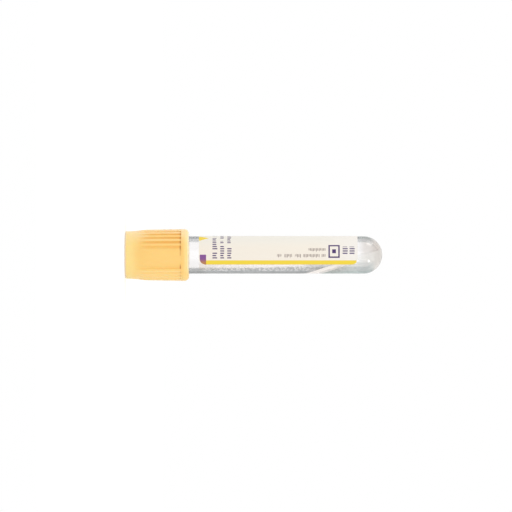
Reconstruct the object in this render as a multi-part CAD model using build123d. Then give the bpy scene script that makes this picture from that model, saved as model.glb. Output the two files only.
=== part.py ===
"""A plastic blood collection tube with a safety cap, a serum gel and a paper label.

The evacuated tube is closed by a rubber stopper that is trapped in a plastic shield.
It is stored standing on the shield's open rim, where a round tube can't roll.

Frame: Z is the axis of the tube. z = 0 is the shield's open rim and the round end is
up. -Y is the front of the label. Lengths are millimetres. Angles are degrees round
the axis, from the front towards +X.
"""

from math import cos, radians, sin
import os

from build123d import *

# --- Driving dimensions -----------------------------------------------------------------

# Tube: the standard 13 x 75 size, moulded in clear plastic with a hemispherical end.
tube_length = 75.0
tube_diameter = 13.0
tube_wall = 1.0
tube_rim_rounding = 0.3

# Stopper: one rubber moulding of plug, flange, neck and head.
plug_length = 7.5
plug_clearance = 0.05  # radial, between the plug and the tube's bore
plug_lead = 0.6
plug_wall = 1.85  # round the hollow, at its mouth
hollow_depth = 6.0
hollow_top_diameter = 3.4
hollow_rounding = 0.5
flange_thickness = 2.0
flange_overhang = 0.65  # radial, beyond the tube
neck_length = 1.7
neck_inset = 0.85  # radial, inside the head
head_length = 5.6
head_inset = 0.45  # radial, inside the flange
head_rounding = 0.5
well_diameter = 6.0  # the dished target for the needle, in the head
well_depth = 1.6

# Shield: a moulded cap whose skirt hangs over the mouth of the tube.
shield_length = 22.1
skirt_overlap = 8.0  # how far the skirt covers the tube
skirt_gap = 0.85  # radial, between the skirt and the tube
skirt_end_rounding = 1.5
rubber_clearance = 0.1  # round the head, neck and flange, and beside them
snap_gap = 0.2  # radial, between the ridge that traps the flange and the tube
snap_ridge_length = 1.2
snap_ridge_lead = 0.4
recess_lip = 0.1  # how far the open recess is narrower than the head, radially
rim_wall = 1.6  # round the recess, at the open rim
rim_outer_rounding = 0.5
rim_inner_rounding = 0.3

# Outside of the shield, from the rim to the skirt: each step widens the radius.
collar_length = 3.0
collar_flare = 0.12
shoulder_length = 4.2
shoulder_rise = 0.48
shoulder_blend = 25.0  # radius of the soft bends where the shoulder starts and ends
grip_flare = 0.13
ring_length = 2.65
ring_step = 0.04

# Grip: groups of grooves between smooth, crowned thumb panels.
panel_count = 3
panel_angle = 6.0  # middle of the first panel
panel_width_angle = 48.0  # between the grooves on its two sides
grooves_per_group = 7
groove_width = 0.95
groove_depth = 0.33  # where the grip starts

# Serum gel: lies in the round end with a slanted surface, as it set in a leaning tube.
gel_clearance = 0.02  # between the gel and the tube's inside
gel_depth = 7.6  # from the tube's tip to the gel's surface, along the axis
gel_slope = 73.2  # of the surface, from square across the tube
gel_reach_angle = 95.0  # where the gel reaches furthest towards the mouth

# Label: paper, wrapped most of the way round and leaving a window.
label_thickness = 0.1
label_from_mouth = 11.5
label_from_dome = 2.2
label_edge_angle = 30.0  # the edge beside the window
label_wrap_angle = 282.0  # from there, over the front, to the other edge
label_corner_radius = 2.1

# --- Radii and heights that follow --------------------------------------------------------

tube_radius = tube_diameter / 2
bore_radius = tube_radius - tube_wall
plug_radius = bore_radius - plug_clearance
flange_radius = tube_radius + flange_overhang
head_radius = flange_radius - head_inset
neck_radius = head_radius - neck_inset

mouth_z = shield_length - skirt_overlap
tip_z = mouth_z + tube_length
dome_z = tip_z - tube_radius
plug_end_z = mouth_z + plug_length
flange_z = mouth_z - flange_thickness
neck_z = flange_z - neck_length
head_z = neck_z - head_length

recess_radius = head_radius - recess_lip
rim_radius = recess_radius + rim_wall
collar_radius = rim_radius + collar_flare
grip_start_radius = collar_radius + shoulder_rise
grip_end_radius = grip_start_radius + grip_flare
ring_radius = grip_end_radius + ring_step
groove_floor_radius = grip_start_radius - groove_depth
skirt_bore_radius = tube_radius + skirt_gap
skirt_rounding = min(skirt_end_rounding, 0.95 * (ring_radius - skirt_bore_radius))
grip_start_z = collar_length + shoulder_length
ring_z = shield_length - ring_length

standing = (Align.CENTER, Align.CENTER, Align.MIN)


def direction(angle):
    """The outward direction at an angle round the axis."""
    return Vector(sin(radians(angle)), -cos(radians(angle)), 0)


def turned(*corners):
    """Turn an outline once round the axis. A corner is (radius, height, rounding)."""
    outline = make_face(Polyline(*[(radius, z) for radius, z, _ in corners], close=True))
    for radius, z, rounding in corners:
        if rounding:
            corner = outline.vertices().sort_by_distance((radius, z))[0]
            outline = fillet(corner, rounding)
    return revolve(Plane.XZ * outline, Axis.Z)


def round_ended_bar(radius, end_z):
    """A bar that runs up the axis from the tube's mouth and ends in a hemisphere."""
    centre_z = end_z - radius
    outline = Polyline((0, end_z), (0, mouth_z), (radius, mouth_z), (radius, centre_z))
    outline += CenterArc((0, centre_z), radius, 0, 90)
    return revolve(Plane.XZ * make_face(outline), Axis.Z)


# --- The pieces -----------------------------------------------------------------------------


def make_tube():
    """The clear tube: an even wall, a round closed end and an eased mouth."""
    tube = round_ended_bar(tube_radius, tip_z) - round_ended_bar(bore_radius, tip_z - tube_wall)
    mouth_edges = tube.edges().group_by(Axis.Z)[0]
    return fillet(mouth_edges, tube_rim_rounding)


def make_gel():
    """The gel fills the round end up to a slanted flat surface."""
    inside = tube_wall + gel_clearance
    full = round_ended_bar(tube_radius - inside, tip_z - inside)
    slope = radians(gel_slope)
    away = direction(gel_reach_angle) * sin(slope) + Vector(0, 0, cos(slope))
    surface = Plane((0, 0, tip_z - gel_depth), z_dir=away)
    return split(full, bisect_by=surface, keep=Keep.TOP)


def make_label():
    """A curved sheet of paper with rounded corners, stuck round the tube."""
    start_z, end_z = mouth_z + label_from_mouth, dome_z - label_from_dome
    far_edge_angle = label_edge_angle - label_wrap_angle
    outside = Cylinder(
        tube_radius + label_thickness, end_z - start_z, arc_size=label_wrap_angle, align=standing
    )
    inside = Cylinder(tube_radius, end_z - start_z, align=standing)
    label = Pos(0, 0, start_z) * Rot(0, 0, far_edge_angle - 90) * (outside - inside)
    for angle, side in ((label_edge_angle, -1), (far_edge_angle, 1)):
        for z, up in ((start_z, 1), (end_z, -1)):
            corner = Plane((0, 0, z), x_dir=direction(angle + 90), z_dir=direction(angle))
            label -= extrude(corner * corner_waste(side, up), tube_diameter)
    return label


def corner_waste(side, up):
    """What a rounded corner at the origin loses, if the paper lies to this side and way up."""
    radius = label_corner_radius
    return Rectangle(2 * radius, 2 * radius) - Pos(side * radius, up * radius) * Circle(radius)


def make_stopper():
    """The rubber stopper, dished over its diaphragm and hollow under it."""
    body = turned(
        (0, head_z, 0),
        (head_radius, head_z, head_rounding),
        (head_radius, neck_z, 0),
        (neck_radius, neck_z, 0),
        (neck_radius, flange_z, 0),
        (flange_radius, flange_z, 0),
        (flange_radius, mouth_z, 0),
        (plug_radius, mouth_z, 0),
        (plug_radius, plug_end_z - plug_lead, 0),
        (plug_radius - plug_lead / 2, plug_end_z, 0),
        (0, plug_end_z, 0),
    )
    well_radius = well_diameter / 2
    dish_radius = (well_radius**2 + well_depth**2) / (2 * well_depth)
    dish = Pos(0, 0, head_z + well_depth - dish_radius) * Sphere(dish_radius)
    hollow = turned(
        (0, plug_end_z - hollow_depth, 0),
        (hollow_top_diameter / 2, plug_end_z - hollow_depth, hollow_rounding),
        (plug_radius - plug_wall, plug_end_z, 0),
        (0, plug_end_z, 0),
    )
    return body - dish - hollow


def make_shield():
    """The shield: a cap open at both ends, ridged inside to trap the stopper's flange."""
    outside = turned(
        (0, 0, 0),
        (rim_radius, 0, rim_outer_rounding),
        (collar_radius, collar_length, shoulder_blend),
        (grip_start_radius, grip_start_z, shoulder_blend),
        (grip_end_radius, ring_z, 0),
        (ring_radius, ring_z, 0),
        (ring_radius, shield_length, skirt_rounding),
        (0, shield_length, 0),
    )
    ledge_z = neck_z + rubber_clearance
    trap_z = mouth_z + rubber_clearance
    ridge_end_z = mouth_z + snap_ridge_length
    inside = turned(
        (0, 0, 0),
        (recess_radius, 0, 0),
        (recess_radius, head_z, 0),
        (head_radius + rubber_clearance, head_z, 0),
        (head_radius + rubber_clearance, ledge_z, 0),
        (neck_radius + rubber_clearance, ledge_z, 0),
        (neck_radius + rubber_clearance, flange_z, 0),
        (flange_radius + rubber_clearance, flange_z, 0),
        (flange_radius + rubber_clearance, trap_z, 0),
        (tube_radius + snap_gap, trap_z, 0),
        (tube_radius + snap_gap, ridge_end_z - snap_ridge_lead, 0),
        (skirt_bore_radius, ridge_end_z, 0),
        (skirt_bore_radius, shield_length, 0),
        (0, shield_length, 0),
    )
    shell = outside - inside
    inner_rim_edge = shell.edges().group_by(Axis.Z)[0].sort_by(SortBy.RADIUS)[0]
    shell = fillet(inner_rim_edge, rim_inner_rounding)
    return shell - groove_cutters() - panel_cutters()


def groove_cutters():
    """A bar for each groove, ending at the ring and running out through the shoulder."""
    bar = Pos(groove_floor_radius, 0, 0) * Box(
        ring_radius, groove_width, ring_z, align=(Align.MIN, Align.CENTER, Align.MIN)
    )
    pitch = (360 / panel_count - panel_width_angle) / (grooves_per_group - 1)
    cutters = []
    for group in range(panel_count):
        first = panel_angle + group * 360 / panel_count + panel_width_angle / 2
        for groove in range(grooves_per_group):
            cutters.append(Rot(0, 0, first + groove * pitch - 90) * bar)
    return cutters


def panel_cutters():
    """What lies outside the crowned face of each thumb panel, down to the ring."""
    half = radians(panel_width_angle / 2)
    near, side = groove_floor_radius * cos(half), groove_floor_radius * sin(half)
    outline = ThreePointArc((near, -side), (grip_end_radius, 0), (near, side))
    far = near + ring_radius
    outline += Polyline((near, side), (far, side), (far, -side), (near, -side))
    cutter = extrude(make_face(outline), ring_z)
    return [
        Rot(0, 0, panel_angle + n * 360 / panel_count - 90) * cutter for n in range(panel_count)
    ]


pieces = {
    "tube": make_tube(),
    "serum_gel": make_gel(),
    "label": make_label(),
    "stopper": make_stopper(),
    "shield": make_shield(),
}

os.makedirs("parts", exist_ok=True)
for name, piece in pieces.items():
    export_step(piece, f"parts/{name}.step")
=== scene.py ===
"""The looks of a blood collection tube: clear tube, serum gel, paper label, stopper and cap.

The tube stands on its cap's open rim with its round end up, and the front of its label
faces -Y. Lengths are metres. Angles are degrees round the axis, from the front towards +X.
"""

from math import atan2, cos, degrees, pi, radians, sin

import bmesh
import bpy
from mathutils import Matrix, Vector


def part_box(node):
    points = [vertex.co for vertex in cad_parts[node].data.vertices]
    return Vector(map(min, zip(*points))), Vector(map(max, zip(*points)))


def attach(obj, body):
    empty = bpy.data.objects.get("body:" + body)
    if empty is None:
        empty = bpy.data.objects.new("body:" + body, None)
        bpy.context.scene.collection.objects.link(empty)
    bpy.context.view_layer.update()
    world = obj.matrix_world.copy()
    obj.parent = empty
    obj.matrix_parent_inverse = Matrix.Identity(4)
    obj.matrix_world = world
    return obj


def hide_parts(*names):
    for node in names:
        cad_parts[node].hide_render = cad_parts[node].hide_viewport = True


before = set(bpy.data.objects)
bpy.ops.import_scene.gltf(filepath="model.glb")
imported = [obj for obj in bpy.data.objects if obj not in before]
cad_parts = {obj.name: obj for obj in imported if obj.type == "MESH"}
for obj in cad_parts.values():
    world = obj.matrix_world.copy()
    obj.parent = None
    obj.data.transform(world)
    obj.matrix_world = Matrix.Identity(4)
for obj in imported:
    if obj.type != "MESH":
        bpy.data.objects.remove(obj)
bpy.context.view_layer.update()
mm = 0.001

# --- The studio --------------------------------------------------------------------------
# A white floor under the rim of the cap and soft white light from all round, with a broad
# lamp at -X, a small one at +X and a weak, wide one in front. The camera looks level at the
# label from far off, turned a quarter, so that the tube lies across the view.

view_width = 177.4 * mm
camera_distance = 1.5
view_centre = Vector((0.35 * mm, 0, 45.32 * mm))
floor_radius = 0.6
floor_shade = 0.76
floor_glow = 0.28
lamp_distance = 0.8

camera_data = bpy.data.cameras.new("camera")
camera_data.lens = camera_data.sensor_width * camera_distance / view_width
camera = bpy.data.objects.new("camera", camera_data)
right, up, back = Vector((0, 0, 1)), Vector((-1, 0, 0)), Vector((0, -1, 0))
camera.matrix_world = Matrix.Translation(view_centre + back * camera_distance) @ (
    Matrix((right, up, back)).transposed().to_4x4()
)
bpy.context.scene.collection.objects.link(camera)
bpy.context.scene.camera = camera
bpy.context.scene.view_settings.view_transform = "Standard"


class Wire:
    """A value in a material's nodes. Sums on it add Math nodes, and node() adds any other."""

    def __init__(self, tree, socket=None):
        self.tree = tree
        self.socket = socket

    def node(self, kind, settings=None, inputs=None, output=0):
        made = self.tree.nodes.new("ShaderNode" + kind)
        for name, value in (settings or {}).items():
            setattr(made, name, value)
        for name, value in (inputs or {}).items():
            if isinstance(value, Wire):
                self.tree.links.new(value.socket, made.inputs[name])
            else:
                made.inputs[name].default_value = value
        return Wire(self.tree, made.outputs[output] if made.outputs else None)

    def maths(self, operation, *values):
        return self.node("Math", {"operation": operation}, dict(enumerate(values)))

    def __add__(self, other):
        return self.maths("ADD", self, other)

    def __sub__(self, other):
        return self.maths("SUBTRACT", self, other)

    def __rsub__(self, other):
        return self.maths("SUBTRACT", other, self)

    def __mul__(self, other):
        return self.maths("MULTIPLY", self, other)

    def __truediv__(self, other):
        return self.maths("DIVIDE", self, other)

    def __gt__(self, other):
        return self.maths("GREATER_THAN", self, other)

    def __lt__(self, other):
        return self.maths("LESS_THAN", self, other)

    __radd__ = __add__
    __rmul__ = __mul__


def seen_straight(start):
    """1 on a ray that the camera sees by itself, in a gloss or through clear plastic."""
    seen = start.node("LightPath", output="Is Camera Ray")
    for ray in ("Is Glossy Ray", "Is Transmission Ray"):
        seen = start.maths("MAXIMUM", seen, start.node("LightPath", output=ray))
    return seen


def new_material(name):
    """An empty material, and a wire to make its nodes from."""
    material = bpy.data.materials.new(name)
    material.use_nodes = True
    material.node_tree.nodes.clear()
    return material, Wire(material.node_tree)


world = bpy.data.worlds.new("studio")
world.use_nodes = True
world.node_tree.nodes.clear()
bpy.context.scene.world = world
start = Wire(world.node_tree)
light = start.node("Background", inputs={"Color": (1, 1, 1, 1), "Strength": 1.0})
start.node("OutputWorld", inputs={"Surface": light})

bpy.ops.object.select_all(action="DESELECT")
bpy.ops.mesh.primitive_circle_add(vertices=96, radius=floor_radius, fill_type="NGON")
floor = bpy.context.object
floor.name = "floor"
material, start = new_material("floor")
paint = start.node("BsdfDiffuse", inputs={"Color": (floor_shade, floor_shade, floor_shade, 1)})
glow = start.node("Emission", inputs={"Strength": seen_straight(start) * floor_glow})
both = start.node("AddShader", inputs={0: paint, 1: glow})
start.node("OutputMaterial", inputs={"Surface": both})
floor.data.materials.append(material)


def add_lamp(name, way, size, brightness):
    """A square lamp of this size that stands out this way and faces the middle of the tube."""
    lamp = bpy.data.objects.new(name, bpy.data.lights.new(name, "AREA"))
    lamp.data.size = size
    lamp.data.energy = brightness * pi * size**2
    lamp.location = view_centre + lamp_distance * Vector(way).normalized()
    lamp.rotation_euler = Vector(way).to_track_quat("Z", "Y").to_euler()
    lamp.visible_camera = False
    bpy.context.scene.collection.objects.link(lamp)


add_lamp("broad_lamp", (-0.87, -0.01, 0.48), 0.35, 1.8)
add_lamp("small_lamp", (0.58, -0.62, 0.52), 0.12, 8.0)
add_lamp("front_lamp", (0.1, -1, 0.1), 1.0, 0.35)

# --- The tube ------------------------------------------------------------------------------
# A clear polyester tube, moulded in one piece with an even wall, a round closed end and
# an eased mouth. A clotting agent is sprayed on its inside as a film of fine specks. Its
# colour carries painted shade along its edges, on its +X side, over its dome and over the gel,
# and a painted highlight where the rim of the gel's slanted surface gleams through its side.

tube_wall = 1.0 * mm
mouth_easing = 0.3 * mm
tube_columns, dome_rings = 192, 32
crease = radians(32)
hair = 0.001 * mm
tube_foot, tube_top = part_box("tube")
tube_radius = tube_top.x
mouth_z, tip_z = tube_foot.z, tube_top.z
dome_z = tip_z - tube_radius
bore_radius = tube_radius - tube_wall
gel_depth = 7.6 * mm
gel_slope = radians(73.2)
gel_reach = radians(95)
away = Vector((sin(gel_reach) * sin(gel_slope), -cos(gel_reach) * sin(gel_slope), cos(gel_slope)))
gel_middle = Vector((0, 0, tip_z - gel_depth))


def pick(piece, test, kind="verts"):
    """In edit mode, selects the vertices, edges or faces whose every corner passes the test."""
    bpy.ops.mesh.select_all(action="DESELECT")
    mesh = bmesh.from_edit_mesh(piece.data)
    for part in getattr(mesh, kind):
        corners = [part] if kind == "verts" else part.verts
        if all(test(vertex.co) for vertex in corners):
            part.select = True
    mesh.select_flush_mode()
    bmesh.update_edit_mesh(piece.data)


def radius_of(place):
    """How far a place is from the axis."""
    return Vector(place[:2]).length


def at(radius, z):
    """A test for the places on one ring round the axis."""
    near = 5 * hair
    return lambda place: abs(radius_of(place) - radius) < near and abs(place.z - z) < near


def begin(name):
    """Names the primitive that was just added, and opens it for editing."""
    piece = bpy.context.object
    piece.name = piece.data.name = name
    bpy.ops.object.mode_set(mode="EDIT")
    return piece


def extrude_ring(z, to_radius, to_z):
    """Extrudes the selected ring, which lies at z, to another radius and height."""
    bpy.ops.mesh.extrude_edges_move(TRANSFORM_OT_translate={"value": (0, 0, to_z - z)})
    mesh = bmesh.from_edit_mesh(bpy.context.object.data)
    radius = radius_of(next(vertex.co for vertex in mesh.verts if vertex.select))
    share = to_radius / radius
    bpy.ops.transform.resize(value=(share, share, 1), center_override=(0, 0, to_z))


def cut(place, way, **settings):
    """Cuts the whole piece across at this place, square to this way."""
    bpy.ops.mesh.select_all(action="SELECT")
    bpy.ops.mesh.bisect(plane_co=place, plane_no=way, threshold=0.1 * hair, **settings)


def round_ended_bar(name, radius, mouth, end):
    """A skin that runs from an open mouth up to a round end, drawn out from half a sphere."""
    bpy.ops.object.select_all(action="DESELECT")
    bpy.ops.mesh.primitive_uv_sphere_add(
        segments=tube_columns, ring_count=2 * dome_rings, radius=radius, location=(0, 0, end - radius)
    )
    bpy.ops.object.transform_apply(location=True)
    skin = begin(name)
    pick(skin, lambda place: place.z < end - radius - hair)
    bpy.ops.mesh.delete(type="VERT")
    pick(skin, at(radius, end - radius), "edges")
    extrude_ring(end - radius, radius, mouth)
    # Two more rings, beside the mouth and the dome, keep the shading of the wall even.
    for z in (mouth + 0.5 * mm, end - radius - 0.1 * mm):
        cut((0, 0, z), (0, 0, 1))
    return skin


def close_up(piece, body, material):
    """Leaves edit mode, smooths the piece and hangs it on its body with its material."""
    bpy.ops.object.mode_set(mode="OBJECT")
    bpy.ops.object.shade_smooth_by_angle(angle=crease)
    piece.data.materials.append(material)
    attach(piece, body)


tube = round_ended_bar("clear_tube", tube_radius, mouth_z, tip_z)
bpy.ops.object.mode_set(mode="OBJECT")
solid = tube.modifiers.new("solid", "SOLIDIFY")
solid.thickness = tube_wall
solid.offset = -1
solid.use_even_offset = True
bpy.ops.object.modifier_apply(modifier=solid.name)
bpy.ops.object.mode_set(mode="EDIT")
for radius in (tube_radius, bore_radius):
    pick(tube, at(radius, mouth_z), "edges")
    bpy.ops.mesh.bevel(offset=mouth_easing, segments=4)


def length(across, along):
    """The straight length of a step across and a step along."""
    return across.maths("SQRT", across * across + along * along)


def places(start):
    """Wires for a place on the piece: its vector, its x, y and z, and its radius, in mm."""
    place = start.node("TexCoord", output="Object")
    x, y, z = (start.node("SeparateXYZ", inputs={0: place}, output=n) * (1 / mm) for n in range(3))
    return place, x, y, z, length(x, y)


def rise_over_gel(place):
    """The distance of a place from the gel's slanted surface, into the gel, in mm."""
    along = place.node("VectorMath", {"operation": "DOT_PRODUCT"}, {0: place, 1: away}, output=1)
    return (along - gel_middle.dot(away)) * (1 / mm)


def ramp(value, low, high):
    """A soft step from 0 at low to 1 at high."""
    bounds = {"Value": value, 1: low, 2: high}
    return value.node("MapRange", {"interpolation_type": "SMOOTHSTEP"}, bounds)


def between(value, low, high):
    """1 from low to high and 0 outside."""
    return (value > low) * (value < high)


def painted(base, *coats):
    """A base colour under coats of paint. Each coat is its mask and the colour it lays on."""
    for mask, over in coats:
        base = mask.node("Mix", {"data_type": "RGBA"}, {0: mask, 6: base, 7: over}, output=2)
    return base


material, start = new_material("clear_plastic")
place, x, _, z, radius = places(start)
above = start.maths("MAXIMUM", z - dome_z / mm, 0)
outside = length(radius, above) > (tube_radius - tube_wall / 2) / mm
inside = 1 - outside
facing = start.node("LayerWeight", inputs={"Blend": 0.5}, output="Facing")
# On the +X side the tube's colour and its edge bands are painted darker: painted shade.
side = ramp(x, -2, 5)
film = start.node("TexVoronoi", inputs={"Vector": place, "Scale": 2000}, output="Color")
film_reach = ramp(z, 26, 29) * (1 - ramp(z, 62, 68))
specks = ramp(film, 0.44, 0.56) * film_reach
rise = rise_over_gel(place)
# Over the gel, and in the window above it, the tube is painted grey: painted shade for the hazy gel
# and the dimmer view through it.
over_gel = ramp(rise, 0.9, 1.6) * ramp(x, 2, 3)
window_shade = ramp(z, 61, 64.5) * ramp(x, 2.6, 3.0)
# The dome is painted greyer and warmer towards its tip: painted shade for the view through the round
# end.
dome, tip = ramp(z, 80.5, 83.5), ramp(z, 84.5, 87.5)
far_side_of_dome = ramp(z, 80, 81.5) * (1 - side)
wall = outside * (1 - ramp(z, 84.0, 87.0))
lean = facing + 0.06 * ramp(z, 40, 62) * side
# A whitish line painted along the rim of the gel's surface, where it shows through the side: a
# painted highlight.
off_rim = start.maths("ABSOLUTE", rise - 0.2 * x)
gleam = (1 - ramp(off_rim, 0.6, 0.95)) * ramp(x, 2.4, 4.4)
# Grey bands painted along the tube's outlines, darkest at the very edge: painted shade for the
# surroundings seen through the wall at a slant. The film's specks show in them, they are greener over
# the gel, and they fade out at the tip.
near_edge = painted(
    (0.38, 0.395, 0.40, 1),
    (side, (0.22, 0.23, 0.23, 1)),
    (film_reach, (0.52, 0.545, 0.56, 1)),
    (specks, (0.23, 0.25, 0.26, 1)),
    (over_gel, (0.34, 0.385, 0.39, 1)),
)
far_edge = painted(
    (0.096, 0.107, 0.112, 1),
    (side, (0.07, 0.077, 0.075, 1)),
    (film_reach, (0.108, 0.12, 0.12, 1)),
    (film_reach * ramp(z, 42, 52), (0.085, 0.095, 0.095, 1)),
    (over_gel, (0.205, 0.28, 0.275, 1)),
    (far_side_of_dome, (0.16, 0.19, 0.185, 1)),
)
# The tube's own faint colour under the coats of painted shade and the painted highlight, with the
# film's specks on the inside.
tint_and_painted_light = painted(
    (0.975, 0.965, 0.965, 1),
    (side, (0.95, 0.94, 0.935, 1)),
    (dome * outside, (0.79, 0.755, 0.725, 1)),
    (window_shade * outside, (0.56, 0.57, 0.57, 1)),
    (over_gel * outside, (0.60, 0.61, 0.605, 1)),
    (tip * outside, (0.67, 0.61, 0.565, 1)),
    (ramp(lean, 0.22, 0.33) * wall, near_edge),
    (ramp(facing, 0.41, 0.58) * wall, far_edge),
    (gleam * outside, (0.90, 0.865, 0.83, 1)),
    (specks * inside, (0.88, 0.885, 0.885, 1)),
)
roughness_of_film = 0.35 * film_reach * inside
rough_film = start.node(
    "Bump", inputs={"Strength": roughness_of_film, "Distance": 0.05 * mm, "Height": film}
)
clear = start.node(
    "BsdfPrincipled",
    inputs={
        "Base Color": tint_and_painted_light,
        "Roughness": 0.02,
        "IOR": 1.57,
        "Transmission Weight": 1.0,
        "Normal": rough_film,
    },
)


def let_light_in(start, clear, shade):
    """Clear plastic that lamps and soft light pass straight, so that what it holds is lit."""
    gap = start.node("BsdfTransparent", inputs={"Color": shade})
    for ray in ("Is Diffuse Ray", "Is Shadow Ray"):
        by_ray = start.node("LightPath", output=ray)
        clear = start.node("MixShader", inputs={0: by_ray, 1: clear, 2: gap})
    return clear


surface = let_light_in(start, clear, (0.99, 0.99, 0.99, 1))
start.node("OutputMaterial", inputs={"Surface": surface})
close_up(tube, "tube", material)
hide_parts("tube")

# --- The serum gel ---------------------------------------------------------------------------
# A soft, hazy gel that parts the serum from the cells when the tube is spun. It was filled
# in the round end while the tube leaned, so its surface is flat and slanted.

gel_sink = 0.01 * mm
gel_radius = bore_radius + gel_sink
gel_below_cut = 2 * mm
gel_gloss = 0.12
gel_foot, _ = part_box("serum_gel")
gel_low, gel_tip = gel_foot.z - gel_below_cut, tip_z - tube_wall + gel_sink
gel = round_ended_bar("hazy_gel", gel_radius, gel_low, gel_tip)
cut(gel_middle, away, use_fill=True, clear_inner=True)

material, start = new_material("gel")
place, _, _, z, radius = places(start)
haze = {"Base Color": (0.955, 0.97, 0.962, 1), "Transmission Weight": 0.85, "IOR": 1.41}
hazy = start.node("BsdfPrincipled", inputs=haze | {"Roughness": gel_gloss})
hazy = let_light_in(start, hazy, (0.97, 0.985, 0.98, 1))
# A cream finish mixed in along the rim of the gel's surface at the wall, weaker towards the round
# end: a painted highlight for the gleam at the gel's edge.
cream = {"Base Color": (0.98, 0.93, 0.89, 1), "Roughness": gel_gloss}
painted_rim_highlight = start.node("BsdfPrincipled", inputs=cream)
by_surface = 1 - ramp(rise_over_gel(place), 0.7, 1.1)
by_wall = radius > gel_radius / mm - 0.3
rim = by_surface * by_wall * (0.9 - 0.8 * ramp(z, 75, 79))
surface = start.node("MixShader", inputs={0: rim, 1: hazy, 2: painted_rim_highlight})
start.node("OutputMaterial", inputs={"Surface": surface})
close_up(gel, "tube", material)
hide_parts("serum_gel")

# --- The label ---------------------------------------------------------------------------------
# A cream paper label with rounded corners, printed flat and wrapped round the tube on its
# own glue. It leaves a window along one side, so that the sample can be seen.

label_thickness = 0.1 * mm
label_edge, label_wrap = 30, 282
label_corner = 2.1 * mm
label_sink = 0.02 * mm
label_foot, label_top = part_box("label")
label_radius = tube_radius + label_thickness
arc = radians(1) * label_radius
bpy.ops.object.select_all(action="DESELECT")
bpy.ops.mesh.primitive_plane_add(size=1)
label = begin("paper_label")
bpy.ops.transform.resize(value=(label_wrap * arc, label_top.z - label_foot.z, 1))
bpy.ops.mesh.bevel(affect="VERTICES", offset=label_corner, segments=8)
bpy.ops.transform.rotate(value=radians(90), orient_axis="X", center_override=(0, 0, 0))
middle = ((label_edge - label_wrap / 2) * arc, 0, (label_foot.z + label_top.z) / 2)
bpy.ops.transform.translate(value=middle)
for column in range(label_edge - label_wrap + 1, label_edge):
    bpy.ops.mesh.select_all(action="SELECT")
    bpy.ops.mesh.bisect(plane_co=(column * arc, 0, 0), plane_no=(1, 0, 0))
bpy.ops.object.mode_set(mode="OBJECT")
wrap = label.modifiers.new("wrap", "SIMPLE_DEFORM")
wrap.deform_method = "BEND"
wrap.deform_axis = "Z"
wrap.angle = radians(label_wrap)
bpy.ops.object.modifier_apply(modifier=wrap.name)
bpy.ops.object.mode_set(mode="EDIT")
bpy.ops.mesh.select_all(action="SELECT")
bpy.ops.transform.translate(value=(0, -label_radius, 0))
bpy.ops.mesh.normals_make_consistent(inside=False)
bpy.ops.object.mode_set(mode="OBJECT")
paper = label.modifiers.new("paper", "SOLIDIFY")
paper.thickness = label_thickness + label_sink
paper.offset = -1
bpy.ops.object.modifier_apply(modifier=paper.name)


def colour(red, green, blue):
    """A paint mixed by its screen values from 0 to 255, as the linear colour it stands for."""
    shares = [value / 255 for value in (red, green, blue)]
    return tuple([s / 12.92 if s < 0.04 else ((s + 0.055) / 1.055) ** 2.4 for s in shares] + [1])


def small_print(along, beside, pitch, low, high, words):
    """A row of made-up print from low to high: words of short strokes of uneven height."""
    count = along.maths("FLOOR", along / pitch)
    short = along.node("TexWhiteNoise", {"noise_dimensions": "1D"}, {"W": count}, output="Value")
    ink = between(beside, low, high - short * (0.4 * (high - low)))
    strokes = ink * (along.maths("FRACT", along / pitch) < 0.5)
    return strokes * sum(between(along, *word) for word in words)


material, start = new_material("label_paper")
place, x, y, z, radius = places(start)
angle = start.maths("ARCTAN2", x, 0 - y) * degrees(1)
across = angle * (arc / mm)
yellow = colour(238, 209, 58)
violet = colour(68, 42, 104)
grey = colour(134, 116, 112)
corner = label_corner / mm
past_edge = label_edge + 10
block_z, block_end, stripe_end = 25.9, 28.1, 80.0
stripe = between(angle, 16.3, past_edge) * between(z, block_end, stripe_end)
corner_z, corner_across = block_z + corner, label_edge * arc / mm - corner
past_corner = (z < corner_z) * (across > corner_across)
cut_off = past_corner * (length(z - corner_z, across - corner_across) > corner)
block = between(angle, -1, past_edge) * between(z, block_z, block_end) * (1 - cut_off)
block_paint = painted(colour(130, 78, 144), (ramp(angle, 10, 25), colour(178, 119, 74)))
triangle_angle, triangle_half_width, triangle_tip, triangle_height = -61, 12.5, 29.1, 3.2
off_middle = start.maths("ABSOLUTE", angle - triangle_angle)
triangle = z < triangle_tip - off_middle * (triangle_height / triangle_half_width)
triangle = triangle * (off_middle < triangle_half_width)
# A row of print lies between two lines, and each of its words between two places, in mm.
rows_round = [
    (30.3, 32.0, [(-1.0, 1.4), (-7.4, -1.7), (-14.5, -9.0)]),
    (33.0, 34.4, [(-3.2, 1.4), (-5.4, -4.2), (-12.0, -6.6)]),
    (35.4, 36.9, [(-2.8, 1.4), (-9.4, -4.0)]),
    (75.2, 77.0, [(-3.0, -0.2)]),
    (77.6, 79.4, [(-3.0, -0.2)]),
]
rows_along = [
    (-0.3, 0.9, [(52.6, 54.1), (55.1, 57.7), (58.7, 60.9), (61.6, 67.2), (68.0, 69.5)]),
    (-2.4, -1.2, [(63.3, 69.5)]),
]
square = between(z, 70.3, 74.2) * between(across, -3.6, 1.0)
hollow = between(z, 70.8, 73.7) * between(across, -3.1, 0.5)
dot = between(z, 71.6, 72.9) * between(across, -2.0, -0.6)
inner_face = radius < tube_radius / mm + 0.05
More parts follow.
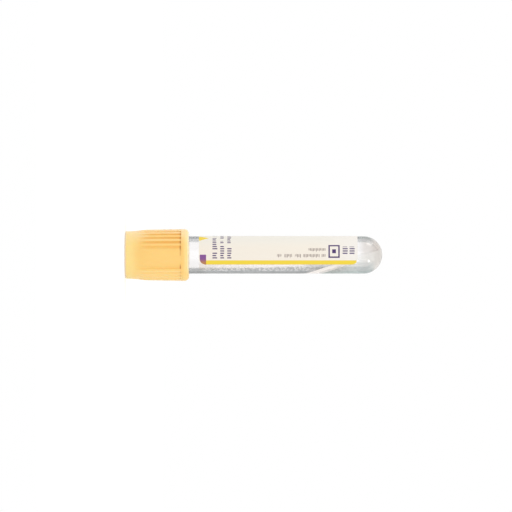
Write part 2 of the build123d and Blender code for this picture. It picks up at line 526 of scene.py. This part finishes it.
# The paper is painted a little cooler on its -X side, as painted light, and it is a little whiter
# towards the round end.
sheet = painted(
    colour(240, 232, 219),
    (ramp(0 - x, 2, 6), colour(236, 232, 222)),
    (ramp(z, 66, 80), colour(239, 234, 227)),
    (stripe, yellow),
    (block, block_paint),
    (triangle, yellow),
    *[(small_print(across, z, 0.8, *row), violet) for row in rows_round],
    *[(small_print(z, across, 0.5, *row), grey) for row in rows_along],
    (start.maths("MAXIMUM", square - hollow, dot), violet),
    (inner_face, colour(246, 243, 237)),
)
# The back of the paper glows faintly: painted light that stands in for light coming through the paper
# and the window.
painted_back_glow = painted((0, 0, 0, 1), (inner_face, (0.19, 0.19, 0.215, 1)))
fibres = start.node("TexNoise", inputs={"Vector": place, "Scale": 2600, "Detail": 3}, output=0)
grain = start.node("Bump", inputs={"Strength": 0.15, "Distance": 0.02 * mm, "Height": fibres})
paper = start.node(
    "BsdfPrincipled",
    inputs={
        "Base Color": sheet,
        "Roughness": 0.5,
        "IOR": 1.45,
        "Emission Color": painted_back_glow,
        "Emission Strength": 1.0,
        "Normal": grain,
    },
)
start.node("OutputMaterial", inputs={"Surface": paper})
close_up(label, "tube", material)
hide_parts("label")

# --- The stopper -----------------------------------------------------------------------------
# One butyl rubber moulding of plug, flange, neck and head. The plug seals the tube's mouth
# round a hollow, the flange is trapped in the cap, and the head has a dish that a needle
# pierces.

stopper_columns = 192
stopper_foot, stopper_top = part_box("stopper")
head_z, plug_end_z = stopper_foot.z, stopper_top.z
flange_z, flange_radius = mouth_z - 2.0 * mm, stopper_top.x
neck_z, neck_radius = flange_z - 1.7 * mm, flange_radius - 1.3 * mm
head_radius = flange_radius - 0.45 * mm
plug_radius = bore_radius - 0.05 * mm
hollow_radius = plug_radius - 1.85 * mm
hollow_z = plug_end_z - 6.0 * mm
hollow_top, hollow_middle = 1.7 * mm, 0.4 * mm
dish_radius, dish_depth, dish_rings = 3.0 * mm, 1.6 * mm, 12
plug_lead = 0.6 * mm


def turn(name, columns, first, *rings):
    """A ring drawn out from one radius and height to the next, as on a lathe."""
    bpy.ops.object.select_all(action="DESELECT")
    bpy.ops.mesh.primitive_circle_add(vertices=columns, radius=first[0], location=(0, 0, first[1]))
    bpy.ops.object.transform_apply(location=True)
    piece = begin(name)
    z = first[1]
    for ring in rings:
        extrude_ring(z, *ring)
        z = ring[1]
    bpy.ops.mesh.select_all(action="SELECT")
    bpy.ops.mesh.remove_doubles(threshold=0.001 * mm)
    bpy.ops.mesh.normals_make_consistent(inside=False)
    return piece


def round_ring(piece, radius, z, easing, segments):
    """Rounds the edge that runs round the axis at this radius and height."""
    pick(piece, at(radius, z), "edges")
    bpy.ops.mesh.bevel(offset=easing, segments=segments)


sphere = (dish_radius**2 + dish_depth**2) / (2 * dish_depth)
sphere_z = head_z + dish_depth - sphere
dish_steps = [dish_radius * n / dish_rings for n in range(1, dish_rings)]
dish = [(r, sphere_z + (sphere**2 - r**2) ** 0.5) for r in dish_steps]
stopper = turn(
    "rubber_stopper",
    stopper_columns,
    dish[0],
    *dish[1:],
    (dish_radius, head_z),
    (head_radius, head_z),
    (head_radius, neck_z),
    (neck_radius, neck_z),
    (neck_radius, flange_z),
    (flange_radius, flange_z),
    (flange_radius, mouth_z),
    (plug_radius, mouth_z),
    (plug_radius, plug_end_z - plug_lead),
    (plug_radius - plug_lead / 2, plug_end_z),
    (hollow_radius, plug_end_z),
    (hollow_top, hollow_z),
    (hollow_middle, hollow_z),
)
for radius, z in (dish[0], (hollow_middle, hollow_z)):
    pick(stopper, at(radius, z), "edges")
    bpy.ops.mesh.edge_face_add()
for radius, z, easing in (
    (head_radius, head_z, 0.5),
    (dish_radius, head_z, 0.12),
    (head_radius, neck_z, 0.15),
    (neck_radius, neck_z, 0.15),
    (neck_radius, flange_z, 0.15),
    (flange_radius, flange_z, 0.15),
    (flange_radius, mouth_z, 0.15),
    (hollow_radius, plug_end_z, 0.15),
    (hollow_top, hollow_z, 0.5),
):
    round_ring(stopper, radius, z, easing * mm, 4)

material, start = new_material("stopper_rubber")
place = start.node("TexCoord", output="Object")
bloom = start.node("TexNoise", inputs={"Vector": place, "Scale": 300, "Detail": 4}, output=0)
grain = start.node("TexNoise", inputs={"Vector": place, "Scale": 3500, "Detail": 2}, output=0)
bump = start.node("Bump", inputs={"Strength": 0.3, "Distance": 0.02 * mm, "Height": grain})
tan = painted(colour(204, 184, 146), (ramp(bloom, 0.35, 0.7), colour(214, 197, 163)))
rubber = start.node(
    "BsdfPrincipled",
    inputs={"Base Color": tan, "Roughness": 0.5 + 0.15 * bloom, "IOR": 1.5, "Normal": bump},
)
start.node("OutputMaterial", inputs={"Surface": rubber})
close_up(stopper, "stopper", material)
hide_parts("stopper")

# --- The shield ----------------------------------------------------------------------------------
# The cap: one satin polyethylene moulding that is open at both ends. Its skirt hangs over
# the tube's mouth, a ledge and a ridge inside trap the stopper, and its grip has three
# groups of grooves between crowned thumb panels.

shield_columns = 720
first_row_z, row_pitch, row_count = 3.85 * mm, 0.55 * mm, 28
recess_radius = head_radius - 0.1 * mm
rim_radius = recess_radius + 1.6 * mm
collar_radius, collar_z = rim_radius + 0.12 * mm, 3.0 * mm
grip_start_radius, grip_start_z = collar_radius + 0.48 * mm, collar_z + 4.2 * mm
ring_radius, skirt_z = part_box("shield")[1].x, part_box("shield")[1].z
grip_end_radius, ring_z = ring_radius - 0.04 * mm, skirt_z - 2.65 * mm
groove_floor = grip_start_radius - 0.33 * mm
panel_angle, panel_count, panel_half_width = 6, 3, 24
groove_pitch = 12
skirt_bore = tube_radius + 0.85 * mm
ridge_bore = tube_radius + 0.2 * mm
ridge_end_z, ridge_lead = mouth_z + 1.2 * mm, 0.4 * mm
rubber_gap = 0.1 * mm

shield = turn(
    "ribbed_cap",
    shield_columns,
    (recess_radius, 0),
    (rim_radius, 0),
    (collar_radius, collar_z),
    (grip_start_radius, grip_start_z),
    (grip_end_radius, ring_z),
    (ring_radius, ring_z),
    (ring_radius, skirt_z),
    (skirt_bore, skirt_z),
    (skirt_bore, ridge_end_z),
    (ridge_bore, ridge_end_z - ridge_lead),
    (ridge_bore, mouth_z + rubber_gap),
    (flange_radius + rubber_gap, mouth_z + rubber_gap),
    (flange_radius + rubber_gap, flange_z),
    (neck_radius + rubber_gap, flange_z),
    (neck_radius + rubber_gap, neck_z + rubber_gap),
    (head_radius + rubber_gap, neck_z + rubber_gap),
    (head_radius + rubber_gap, head_z),
    (recess_radius, head_z),
    (recess_radius, 0),
)
for radius, z, easing, segments in (
    (rim_radius, 0, 0.5, 5),
    (recess_radius, 0, 0.3, 4),
    (collar_radius, collar_z, 0.7, 4),
    (grip_start_radius, grip_start_z, 1.0, 4),
    (ring_radius, ring_z, 0.03, 2),
    (ring_radius, skirt_z, 1.5, 10),
    (skirt_bore, skirt_z, 0.08, 2),
):
    round_ring(shield, radius, z, easing * mm, segments)
for row in range(row_count):
    pick(shield, lambda place: radius_of(place) > rim_radius and place.z < ring_z + hair, "faces")
    row_z = first_row_z + row * row_pitch
    bpy.ops.mesh.bisect(plane_co=(0, 0, row_z), plane_no=(0, 0, 1))
bpy.ops.object.mode_set(mode="OBJECT")


def on_grip(place):
    """True on the outside of the cap between its collar and its ring."""
    skin = groove_floor < radius_of(place) < grip_end_radius + 10 * hair
    return skin and collar_z < place.z < ring_z + hair


# How much of its depth a groove has at so many degrees from its middle.
groove_shape = {0: 1, 0.5: 1, 1.0: 1, 1.5: 1, 2.0: 1, 2.5: 0.9, 3.0: 0.5, 3.5: 0.1}
full_depth = grip_end_radius - groove_floor
half_pitch = groove_pitch / 2
first_groove = panel_half_width - half_pitch
grooves = shield.vertex_groups.new(name="grooves")
sunk = [0.0] * len(shield.data.vertices)
for vertex in shield.data.vertices:
    angle = (degrees(atan2(vertex.co.x, -vertex.co.y)) - panel_angle) % (360 / panel_count)
    if not on_grip(vertex.co) or not first_groove < angle < 360 / panel_count - first_groove:
        continue
    offset = (angle - first_groove) % groove_pitch - half_pitch
    depth = groove_shape.get(round(abs(offset) * 2) / 2, 0)
    if depth:
        grooves.add([vertex.index], depth, "REPLACE")
        sunk[vertex.index] = depth * (radius_of(vertex.co) - groove_floor) / full_depth


def press(piece, group, centre, radius):
    """Presses a group of points onto an upright cylinder."""
    hub = bpy.data.objects.new("hub", None)
    hub.location = centre
    bpy.context.scene.collection.objects.link(hub)
    bpy.context.view_layer.update()
    cast = piece.modifiers.new("press", "CAST")
    cast.cast_type = "CYLINDER"
    cast.object = hub
    cast.factor = 1
    cast.size = radius
    cast.use_radius_as_size = False
    cast.vertex_group = group.name
    bpy.ops.object.modifier_apply(modifier=cast.name)
    bpy.data.objects.remove(hub)


press(shield, grooves, (0, 0, 0), groove_floor)
half_width = radians(panel_half_width)
near, side = groove_floor * cos(half_width), groove_floor * sin(half_width)
bow = grip_end_radius - near
crown_radius = (side**2 + bow**2) / (2 * bow)
for panel in range(panel_count):
    way = radians(panel_angle + panel * 360 / panel_count)
    centre = Vector((sin(way), -cos(way), 0)) * (grip_end_radius - crown_radius)
    crown = shield.vertex_groups.new(name="crown")
    for vertex in shield.data.vertices:
        turned = (degrees(atan2(vertex.co.x, -vertex.co.y) - way) + 180) % 360 - 180
        flat = (vertex.co - centre).to_2d()
        if on_grip(vertex.co) and abs(turned) < panel_half_width and flat.length > crown_radius:
            crown.add([vertex.index], 1, "REPLACE")
    press(shield, crown, centre, crown_radius)
shield.vertex_groups.clear()
shield.data.attributes.new("sunk", "FLOAT", "POINT").data.foreach_set("value", sunk)

material, start = new_material("cap_plastic")
place, x, _, z, radius = places(start)
grain = start.node("TexNoise", inputs={"Vector": place, "Scale": 4200, "Detail": 2}, output=0)
bump = start.node("Bump", inputs={"Strength": 0.2, "Distance": 0.01 * mm, "Height": grain})
groove = start.node("Attribute", {"attribute_name": "sunk"}, output="Fac")
# How strongly painted shade goes into the grooves: less beside the panel and on the +X side.
groove_shade = 0.75 - 0.35 * ramp(x, -3.4, -2.9) - 0.4 * ramp(x, 0, 5.5)
# A band of the grip on the -X side that gets less of the painted light.
dimmer_band = ramp(0 - x, 5.9, 6.3) * (1 - ramp(0 - x, 6.8, 8.0)) * ramp(z, 7, 9.5) * (z < 19.4)
# The strip just under the ring's step, and how far the surface sinks below the ring, for painted
# shadow.
lip = ramp(z, 18.8, 19.35) * (1 - ramp(z, 19.46, 19.5))
below_lip = ramp(ring_radius / mm - 0.01 - radius, 0.15, 0.42)
painted_light, painted_shadow = colour(255, 226, 172), colour(205, 140, 66)
body = painted(
    # The cap's colour, painted paler towards the rim up to 6 mm: painted light on the collar.
    colour(254, 225, 147),
    (ramp(z, 0.8, 6.0), colour(252, 207, 121)),
    # Paler over the ring's rounded end: painted highlight.
    (ramp(z, 20.0, 21.2), colour(254, 217, 141)),
    # Paler on the -X side and on the +X side of the grip: painted light.
    (0.75 * ramp(0 - x, 3, 9) * (1 - 0.9 * dimmer_band), painted_light),
    (0.3 * ramp(x, 4.5, 9) * between(z, 4, 19.5), painted_light),
    # A near-white painted highlight at the ring's edge, weaker on the +X side, where the ring's end
    # gets painted shade instead.
    (ramp(z, 21.5, 22.0) * (1 - 0.8 * ramp(x, 4, 7)), colour(255, 238, 200)),
    (0.7 * ramp(z, 20.6, 21.2) * ramp(x, 4, 7), colour(250, 205, 116)),
    # Painted shade in the grooves, and painted light that fills the grooves on the +X side.
    (groove * groove_shade, colour(238, 178, 70)),
    (0.9 * groove * ramp(x, 4.8, 5.8), colour(255, 228, 160)),
    # Painted shadow under the ring's step: over the ridges on the -X side, and where the grooves and
    # panel edges sink below the ring.
    (0.35 * lip * ramp(x, -8.6, -7.2) * (1 - ramp(x, 0, 0.6)), painted_shadow),
    (lip * below_lip * (0.8 - 0.7 * ramp(x, 4.6, 5.6)), painted_shadow),
    # A paler edge at the rim: painted light.
    (1 - ramp(z, 0.1, 0.7), colour(255, 232, 205)),
)
satin = start.node(
    "BsdfPrincipled",
    inputs={
        "Base Color": body,
        "Roughness": 0.38,
        "IOR": 1.5,
        "Subsurface Weight": 0.2,
        "Subsurface Radius": (1.0, 0.5, 0.2),
        "Subsurface Scale": 1.0 * mm,
        "Normal": bump,
    },
)
start.node("OutputMaterial", inputs={"Surface": satin})
close_up(shield, "cap", material)
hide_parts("shield")

bpy.ops.object.select_all(action="DESELECT")
